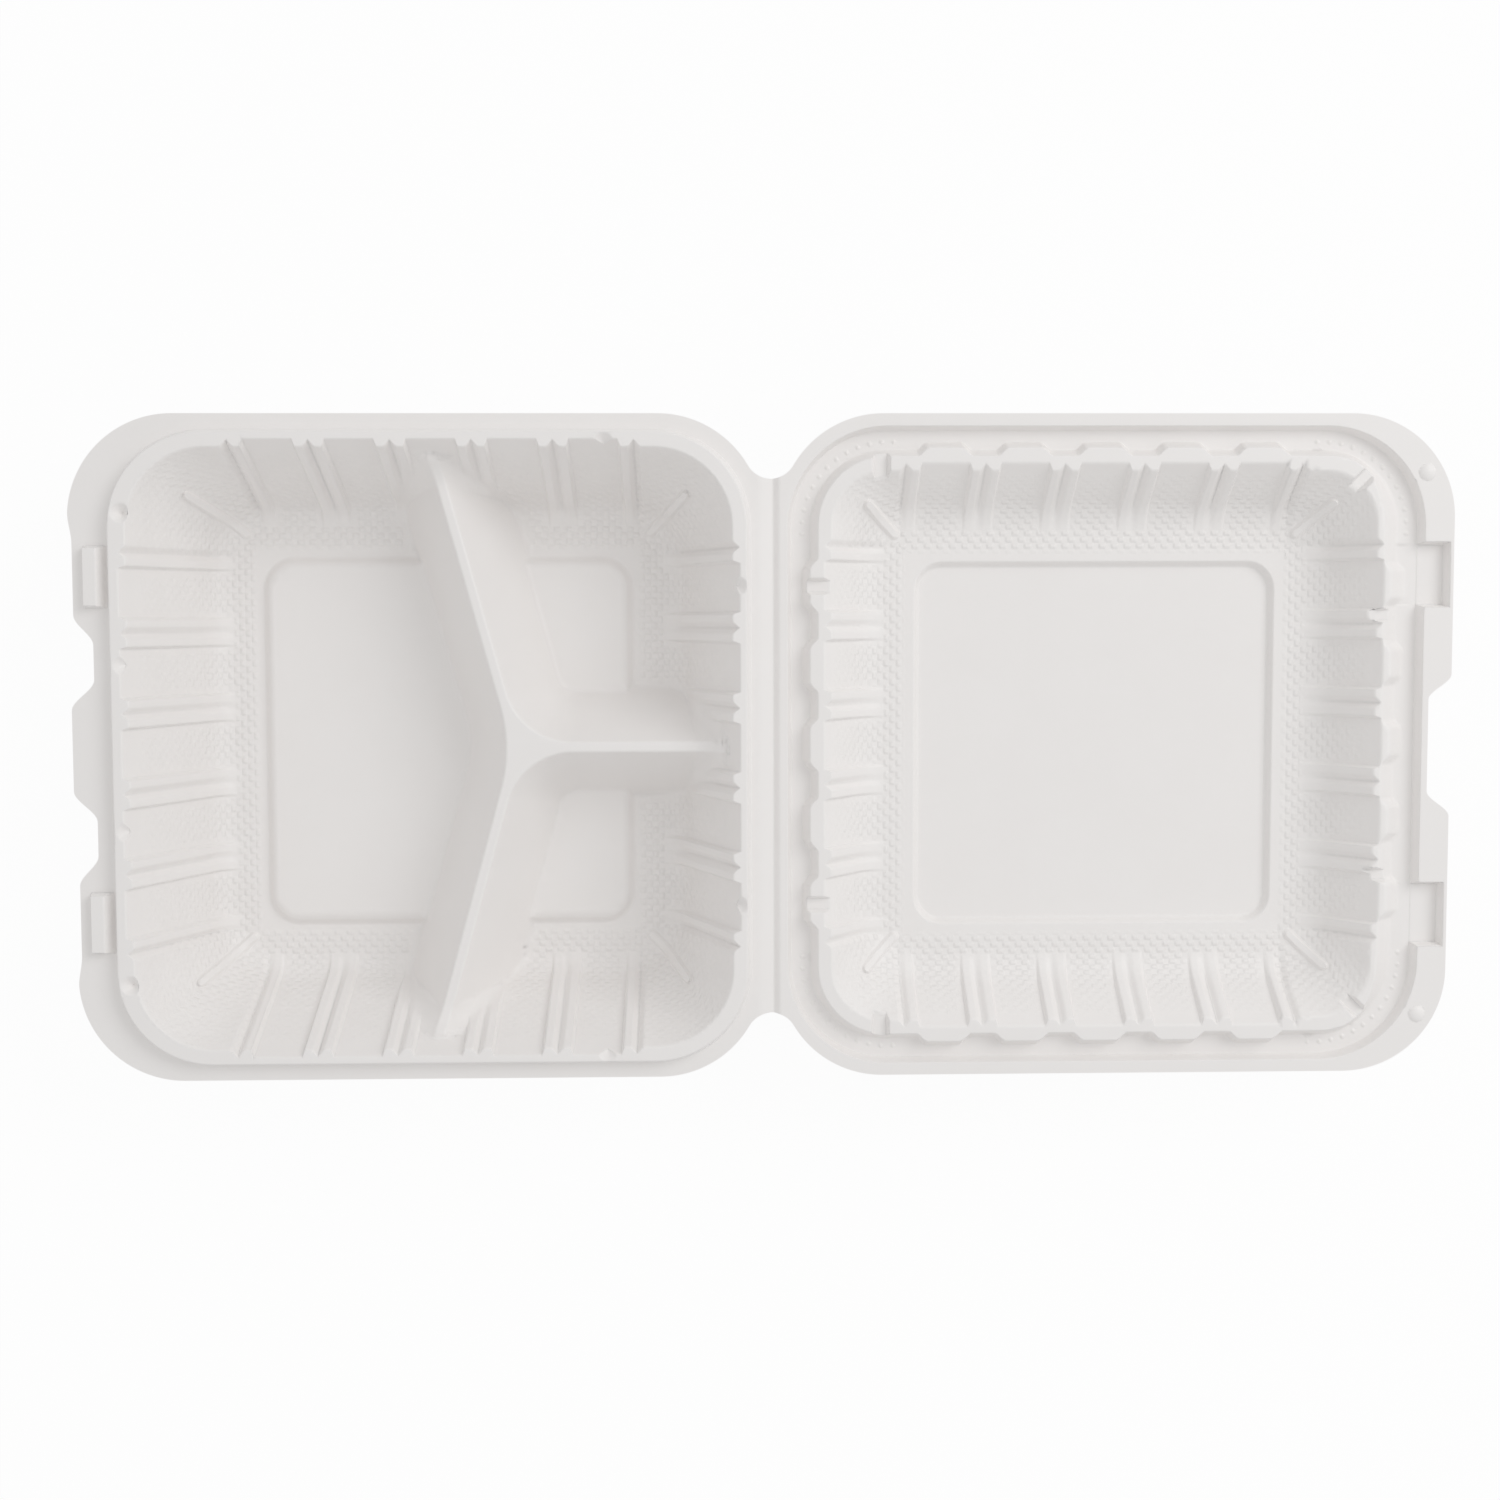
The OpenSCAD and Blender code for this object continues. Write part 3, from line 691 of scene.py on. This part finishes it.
base_edge = half_outline(BASE_REACH, BASE_FOLD_EDGE, base_front_cut) - (MID_U, 0)
base_rings = fluted_rings(OPENING_HALF, OPENING_R, BASE_SHRINK, BASE_WALL, BASE_SHIFTS, BASE_LEVELS,
                          WALL_CORNER_POINTS)
base_links = grid_links(base_rings, WALL_CORNER_POINTS)
base_rings = drawn_in(base_rings, front_in)
plain, divider = base_parts(*base_rings.T)[1:]
base_rings[divider > plain + DIVIDER_CLEAR] = FAR_OFF
ridge_rows = divider_rows(RIDGE_LEVELS, RIDGE_POINT_STEP)
plain, divider = base_parts(*ridge_rows.T)[1:]
ridge_rows = ridge_rows[divider > plain - DIVIDER_CLEAR]
base_panel_rings = drawn_in(
    edge_rings(BASE_PANEL_HALF, BASE_PANEL_R, PANEL_LEVELS, PANEL_POINT_STEP, PANEL_CORNER_POINTS), front_in)
base_panel_rings = base_panel_rings[base_parts(*base_panel_rings.T)[2] < DIVIDER_CLEAR]
rim_rings = edge_rings(RIM_HALF, RIM_R, RIM_LEVELS, RIM_POINT_STEP, RIM_CORNER_POINTS)
lug_mid, lug_half = (LUG_V[0] + LUG_V[1]) / 2, 11.3
lug_patches = [patch(LUG_U[0] - MID_U - 1, LUG_U[1] - MID_U + 0.8, v - lug_half, v + lug_half, FINE_STEP)
               for v in (-lug_mid, lug_mid)]
dent_patches = [square_patch(u - MID_U, v, DENT_R + 0.4, FINE_STEP) for u, v in DENTS]
base_sets = [(0.3, np.concatenate(lug_patches + dent_patches), []),
             (0.4, bar_patch(BASE_BAR, front_in, BASE_BAR_SHIFT), []),
             (0.3, ridge_rows, []),
             (0.4, base_rings, base_links),
             (0.4, np.concatenate(rim_rings), grid_links(rim_rings, RIM_CORNER_POINTS)),
             (0.4, base_panel_rings, []),
             (1.5, patch(-111, 123, -115, 115, BASE_FILL_STEP), [])]
base_sets = [(gap, q * (-1, 1) + (BASE_MID, 0), pairs) for gap, q, pairs in base_sets]


def base_grain(x, y):
    """The mould's grain stays off the rim, the divider and the corner bars."""
    p = BASE_MID - x
    near = p + front_in(p)
    deep, plain, divider = base_parts(p, y)
    clear = smooth_step(deep, *GRAIN_END_RUN) * (1 - smooth_step(divider - plain, *GRAIN_BESIDE))
    clear *= 1 - bar_mask(near, y - BASE_BAR_SHIFT, BASE_BAR, BAR_HALF + 1)
    masks = grain_masks(near, y, BASE_SHIFTS, BASE_BORDER, BASE_GRAIN_FOOT, OPENING_HALF - GRAIN_END)
    return {mask: value * clear for mask, value in masks.items()}


base_shell = formed_sheet("base_shell", base_height, base_edge * (-1, 1) + (BASE_MID, 0), base_sets,
                          base_grain)
base_shell.data.materials.append(sheet_finish("base_sheet", BASE_MID))
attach(base_shell, "base")
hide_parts("base_tray")

# Lid
# The shallow half of the same sheet, formed with the base in one stroke.
# A channel takes the base rim, a scalloped ring plugs the opening, and pockets catch the two lugs.
LID_MID = HINGE_X + MID_U
LID_REACH = 237.44
LID_FOLD_EDGE = 3.5
LID_NOTCH_DEPTH = 7.94
LID_NOTCH = (16.1, 24.8)
LID_FLANGE_ROUND = 1.0
CHANNEL_Z = 43.2
CHANNEL_HALF = 110.67
CHANNEL_R = 34.6
CHANNEL_ROUND = 1.2
POCKET_V = LUG_V
POCKET_U = 236.2
POCKET_BACK_U = 224
POCKET_FROM_P = 95
POCKET_SLOPE = 6
POCKET_ROUND = 0.8
POCKET_MOUTH_ROUND = 0.6

RING_Z = 49.0
RING_HALF = 105.4
RING_R = 29.0
RING_STEP = 2.8
RING_PANEL = 5.7
RING_RAMP = 4.0
RING_SLOPE = 2.6
RING_ROUND = 1.0
# Along the front the ring's wall leans more, and the dish begins further in
RING_FRONT = {"foot": 0.6, "slope": 1.6, "panel": 1.5}
RING_FRONT_RUN = (84, 97)
LID_FRONT_IN = 1.6
LID_FRONT_IN_RUN = (30, 95)

LID_HALF = 97.9
LID_R = 18.3
LID_SHRINK = 0.05
LID_WALL = {"slope": 1.351, "bend": 11.25, "foot": 23.15, "foot_r": 14.8}
LID_FLOOR_Z = 27.8
LID_PANEL_HALF = 64.7
LID_PANEL_R = 10.0
LID_PANEL_SLOPE = 2
DISH_ROUND = 0.9
LID_SHIFTS = (1.2, 1.0, -1.3, -1.3)
LID_BAR = ((82.0, 81.6), (72.0, 71.9))
LID_BAR_SHIFT = 2.5
LID_BORDER = (68.6, 74.8)
LID_GRAIN_FOOT = 84.0

# Steam vents: middle of each in plan, half width, and the way it runs across the ring
VENTS = [(p, e * v, half, turn * e) for e in (-1, 1) for p, v, half, turn in (
    (100.0, 45.5, 2.5, 0.0), (-100.0, 55.2 + 0.6 * e, 2.7, 0.0), (-78.5, 99.5, 3.0, np.pi / 2),
    (88.4, 92.0, 2.6, np.pi / 4))]
VENT_Z = 47.4
VENT_SLOPE = 3
VENT_FLAT = 0.4
VENT_ROUND = 0.5
VENT_REACH = 9

# Stacking buttons near the front corners
BUTTONS = [(227.5 - MID_U, 94.8), (227.5 - MID_U, -94.8)]
BUTTON_R = 2.9
BUTTON_H = 1.1
BUTTON_DOME = 0.7

# Small dots on the channel's floor, round each corner
DOT_H = 0.35
DOT_TOP_R = 0.2
DOT_R = 1.0
DOT_LINE_R = 30.0
DOT_CORNER = 105.6 - DOT_LINE_R
DOTS = [(e * (DOT_CORNER + DOT_LINE_R * np.cos(t)), f * (DOT_CORNER + DOT_LINE_R * np.sin(t)))
        for e in (-1, 1) for f in (-1, 1) for t in np.linspace(-0.06, np.pi / 2 + 0.06, 13)]


def ring_scallops(s, panel):
    """1 where the plug ring stands out into a wall panel of the base, 0 where it steps back for a rib."""
    return 1 - smooth_step(to_panel(s), panel, panel + RING_RAMP)


def lid_front_in(p):
    return LID_FRONT_IN * smooth_step(p, *LID_FRONT_IN_RUN)


def lid_height(x, y):
    p, v = x - LID_MID, y
    u = p + MID_U
    near = p + lid_front_in(p)
    s = along_side(p, v, LID_SHIFTS)
    well = FLANGE_Z - RIM_SLOPE * inset(p, v, CHANNEL_HALF, CHANNEL_R)
    well = smooth_max(CHANNEL_Z, well, CHANNEL_ROUND)
    ends = np.maximum(POCKET_V[0] - abs(v), abs(v) - POCKET_V[1]) * POCKET_SLOPE
    outer = (u - POCKET_U) * POCKET_SLOPE + FLANGE_Z - CHANNEL_Z
    pocket = smooth_max(CHANNEL_Z, CHANNEL_Z + smooth_max(ends, outer, POCKET_ROUND), POCKET_ROUND)
    well = np.where(p > POCKET_FROM_P, smooth_min(well, pocket, POCKET_MOUTH_ROUND), well)
    well = smooth_min(FLANGE_Z, well, LID_FLANGE_ROUND)
    front = smooth_step(p, *RING_FRONT_RUN)
    step = RING_STEP * (1 - ring_scallops(s, RING_PANEL - RING_FRONT["panel"] * front))
    foot = inset(p, v, RING_HALF, RING_R) - RING_FRONT["foot"] * front - step
    plug = smooth_min(RING_Z, CHANNEL_Z + (RING_SLOPE - RING_FRONT["slope"] * front) * foot, RING_ROUND)
    deep = inset(near, v, LID_HALF, LID_R, LID_SHRINK)
    raised = BAR_H * bar_mask(near, v - LID_BAR_SHIFT, LID_BAR) * wall_lean(deep, LID_WALL)
    deep = deep - FLUTE_DEPTH * (1 - flutes(s)) * flute_fade(deep, LID_WALL)
    dish = wall_profile(deep, LID_WALL, RING_Z, LID_FLOOR_Z) + raised
    step = LID_FLOOR_Z - LID_PANEL_SLOPE * inset(near, v, LID_PANEL_HALF, LID_PANEL_R)
    panel = smooth_max(LID_FLOOR_Z - PANEL_STEP, step, DISH_ROUND)
    dish = smooth_min(dish, panel, DISH_ROUND)
    z = smooth_min(smooth_max(well, plug, CHANNEL_ROUND), dish, DISH_ROUND)
    for vent_p, vent_v, vent_half, turn in VENTS:
        dp, dv = p - vent_p, v - vent_v
        gap = abs(dv * np.cos(turn) - dp * np.sin(turn))
        cut = VENT_Z + np.clip(gap - vent_half + VENT_FLAT, -VENT_FLAT, 5) * VENT_SLOPE
        z = np.where(np.hypot(dp, dv) < VENT_REACH, smooth_min(z, cut, VENT_ROUND), z)
    for button_p, button_v in BUTTONS:
        gap = ((p - button_p) ** 2 + (v - button_v) ** 2) / BUTTON_R ** 2
        z = z + BUTTON_H * np.clip(1 - gap, 0, 1) ** BUTTON_DOME
    for dot_p, dot_v in DOTS:
        z = z + DOT_H * (1 - smooth_step(np.hypot(p - dot_p, v - dot_v), DOT_TOP_R, DOT_R))
    return z


def lid_front_cut(v):
    """How far the front edge is cut back for the finger notch."""
    return LID_NOTCH_DEPTH * (1 - smooth_step(abs(v), *LID_NOTCH))


ring_sides = [side_stations(shift, RING_PANEL, RING_RAMP, 3.0) for shift in LID_SHIFTS]


def plug_ring(level):
    """A ring of points on the plug's scalloped wall, which leans more along the front."""
    ins = [level + RING_STEP * (1 - ring_scallops(s - shift, RING_PANEL))
           for s, shift in zip(ring_sides, LID_SHIFTS)]
    scallops = ring_scallops(ring_sides[0] - LID_SHIFTS[0], RING_PANEL - RING_FRONT["panel"])
    leaning = level * RING_SLOPE / (RING_SLOPE - RING_FRONT["slope"])
    ins[0] = leaning + RING_FRONT["foot"] + RING_STEP * (1 - scallops)
    return ring([RING_HALF - i for i in ins], [RING_R - i for i in ins], ring_sides, WALL_CORNER_POINTS,
                RING_HALF - level - RING_STEP, RING_R - level - RING_STEP)


def vent_patch(p, v, half, turn):
    """A patch as long as the vent and a little wider, for a slanting vent in both directions."""
    c, s = abs(np.cos(turn)), abs(np.sin(turn))
    length, width = 5.5, half + 1.5
    p_half, v_half = c * length + s * width, c * width + s * length
    return patch(p - p_half, p + p_half, v - v_half, v + v_half, SMALL_STEP)


SMALL_STEP = 0.42
LID_FILL_STEP = 2.5
LID_LEVELS = (-1.2, -0.8, -0.45, -0.2, 0, 0.2, 0.45, 0.9, 1.6, 2.6, 4, 5.5, 7, 8.5, 10, 11.25, 12.7, 14.2,
              15.7, 17.2, 18.7, 20.2, 21.7, 23.1, 24.6)
PLUG_LEVELS = (-0.8, -0.45, -0.2, 0, 0.2, 0.5, 0.9, 1.3, 1.7, 1.95, 2.2, 2.45, 2.7, 3.0)
CHANNEL_LEVELS = (1.2, 0.5, 0.25, 0.05, -0.15, -0.35, -0.55, -0.75, -0.95, -1.15, -1.4, -1.9, -2.8)

lid_edge = half_outline(LID_REACH, LID_FOLD_EDGE, lid_front_cut) - (MID_U, 0)
lid_rings = fluted_rings(LID_HALF, LID_R, LID_SHRINK, LID_WALL, LID_SHIFTS, LID_LEVELS, WALL_CORNER_POINTS)
plug_rings = [plug_ring(level) for level in PLUG_LEVELS]
channel_rings = edge_rings(CHANNEL_HALF, CHANNEL_R, CHANNEL_LEVELS, RIM_POINT_STEP, RIM_CORNER_POINTS)
lid_panel_rings = edge_rings(LID_PANEL_HALF, LID_PANEL_R, PANEL_LEVELS, PANEL_POINT_STEP, PANEL_CORNER_POINTS)
pocket_mid, pocket_half = (POCKET_V[0] + POCKET_V[1]) / 2, 12
pocket_patches = [patch(POCKET_BACK_U - MID_U, POCKET_U - MID_U + 1.2, v - pocket_half, v + pocket_half,
                        SMALL_STEP) for v in (-pocket_mid, pocket_mid)]
vent_patches = [vent_patch(*vent) for vent in VENTS]
button_patches = [square_patch(p, v, BUTTON_R + 0.4, SMALL_STEP) for p, v in BUTTONS]
dot_patches = [square_patch(p, v, DOT_R + 0.2, 0.4) for p, v in DOTS]
lid_sets = [(0.3, np.concatenate(pocket_patches + vent_patches + button_patches), []),
            (0.4, np.concatenate(dot_patches), []),
            (0.4, bar_patch(LID_BAR, lid_front_in, LID_BAR_SHIFT), []),
            (0.4, drawn_in(lid_rings, lid_front_in), grid_links(lid_rings, WALL_CORNER_POINTS)),
            (0.4, np.concatenate(plug_rings), grid_links(plug_rings, WALL_CORNER_POINTS)),
            (0.4, np.concatenate(channel_rings), grid_links(channel_rings, RIM_CORNER_POINTS)),
            (0.4, drawn_in(lid_panel_rings, lid_front_in), grid_links(lid_panel_rings, PANEL_CORNER_POINTS)),
            (1.5, patch(-113, 121, -115, 115, LID_FILL_STEP), [])]
lid_sets = [(gap, q + (LID_MID, 0), pairs) for gap, q, pairs in lid_sets]


def lid_grain(x, y):
    """The mould's grain stays off the ring and the corner bars."""
    p = x - LID_MID + lid_front_in(x - LID_MID)
    clear = smooth_step(inset(p, y, LID_HALF, LID_R, LID_SHRINK), *GRAIN_END_RUN)
    clear *= 1 - bar_mask(p, y - LID_BAR_SHIFT, LID_BAR, BAR_HALF + 1)
    masks = grain_masks(p, y, LID_SHIFTS, LID_BORDER, LID_GRAIN_FOOT, LID_HALF - GRAIN_END)
    return {mask: value * clear for mask, value in masks.items()}


lid_shell = formed_sheet("lid_shell", lid_height, lid_edge + (LID_MID, 0), lid_sets, lid_grain)
lid_shell.data.materials.append(sheet_finish("lid_sheet", LID_MID))
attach(lid_shell, "lid")
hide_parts("lid")

# Fold
# A groove pressed along the line where base and lid meet, thin enough to bend again and again.
# It is the same sheet, and meets the base on one side and the lid on the other.
GROOVE_DEPTH = 1.6
GROOVE_T = 0.9
GROOVE_BASE = 4.6
GROOVE_LID = 2.0
GROOVE_ROUND = 0.6
GROOVE_EDGE_ROUND = 0.5
FOLD_STEPS = 94
FOLD_ROW_END = 92


def fold_height(x, y):
    t = x - HINGE_X - GROOVE_T
    base_side = -GROOVE_DEPTH * (1 + t / GROOVE_BASE)
    lid_side = -GROOVE_DEPTH * (1 - t / GROOVE_LID)
    groove = smooth_max(base_side, lid_side, GROOVE_ROUND)
    return FLANGE_Z + smooth_min(groove + 0 * y, 0 * y, GROOVE_EDGE_ROUND)


fold_run = np.linspace(-BASE_FOLD_EDGE, LID_FOLD_EDGE, 28)
fold_end = NECK_V - np.sqrt(NECK_R ** 2 - fold_run ** 2)
fold_base = np.linspace(fold_end[0], -fold_end[0], FOLD_STEPS + 2)[1:-1]
fold_lid = np.linspace(-fold_end[-1], fold_end[-1], FOLD_STEPS + 2)[1:-1]
fold_edge = np.concatenate([
    np.stack([fold_run, -fold_end], 1),
    np.stack([np.full(FOLD_STEPS, LID_FOLD_EDGE), fold_lid], 1),
    np.stack([fold_run, fold_end], 1)[::-1],
    np.stack([np.full(FOLD_STEPS, -BASE_FOLD_EDGE), fold_base], 1)])
fold_places = np.linspace(-FOLD_ROW_END, FOLD_ROW_END, FOLD_STEPS)
fold_rows = np.stack(np.meshgrid(fold_run[1:-1], fold_places), 2).reshape(-1, 2)
fold_strip = formed_sheet(
    "fold_strip", fold_height, fold_edge + (HINGE_X, 0), [(0.2, fold_rows + (HINGE_X, 0), [])],
    lambda x, y: {"diamond": 0 * x, "pebble": 0 * x})
fold_strip.data.materials.append(sheet_finish("fold_sheet", HINGE_X))
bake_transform(fold_strip)

# Studio
# A plain white table under the container, a large soft lamp up to the right, and an even pale surround.
# Table and surround look white where they are seen, and light the container less than they look.
SEEN_WHITE = 0.95
SURROUND = 0.655


def seen_rays(wire):
    """1 for rays that see a background straight, in a reflection or through something clear."""
    path = wire.node("ShaderNodeLightPath", {}, {}, "Is Camera Ray")
    mirrored = path.maths("MAXIMUM", path, path.other("Is Glossy Ray"))
    return path.maths("MAXIMUM", mirrored, path.other("Is Transmission Ray"))


table_mesh = bpy.data.meshes.new("table")
table_mesh.from_pydata([(-4, -4, 0), (4, -4, 0), (4, 4, 0), (-4, 4, 0)], [], [(0, 1, 2, 3)])
table = bpy.data.objects.new("table", table_mesh)
table.location.z = -0.0002
bpy.context.collection.objects.link(table)
white = bpy.data.materials.new("table_white")
white.use_nodes = True
tree = white.node_tree
wire = Wire(tree)
paper = tree.nodes["Principled BSDF"]
paper.inputs["Base Color"].default_value = (0.9, 0.9, 0.9, 1)
paper.inputs["Roughness"].default_value = 0.9
paper.inputs["Specular IOR Level"].default_value = 0.0
glow = wire.node("ShaderNodeEmission", {}, {"Color": (1, 1, 1, 1), "Strength": 1.0})
mixed = wire.node("ShaderNodeMixShader", {},
                  {0: SEEN_WHITE * seen_rays(wire), 1: Wire(tree, paper.outputs[0]), 2: glow})
tree.links.new(mixed.socket, tree.nodes["Material Output"].inputs["Surface"])
table_mesh.materials.append(white)

world = bpy.data.worlds.new("surround")
bpy.context.scene.world = world
world.use_nodes = True
tree = world.node_tree
wire = Wire(tree)
surround = tree.nodes["Background"]
surround.inputs["Color"].default_value = (1, 1, 1, 1)
tree.links.new((SURROUND + (1 - SURROUND) * seen_rays(wire)).socket, surround.inputs["Strength"])

lamp = bpy.data.lights.new("soft_lamp", "AREA")
lamp.shape = "DISK"
lamp.size = 1.1
lamp.energy = 8.1
lamp_holder = bpy.data.objects.new("soft_lamp", lamp)
lamp_holder.location = (1.1, 0.75, 1.25)
lamp_holder.rotation_euler = (-lamp_holder.location).to_track_quat("-Z", "Y").to_euler()
bpy.context.collection.objects.link(lamp_holder)

bpy.context.scene.view_settings.view_transform = "Standard"
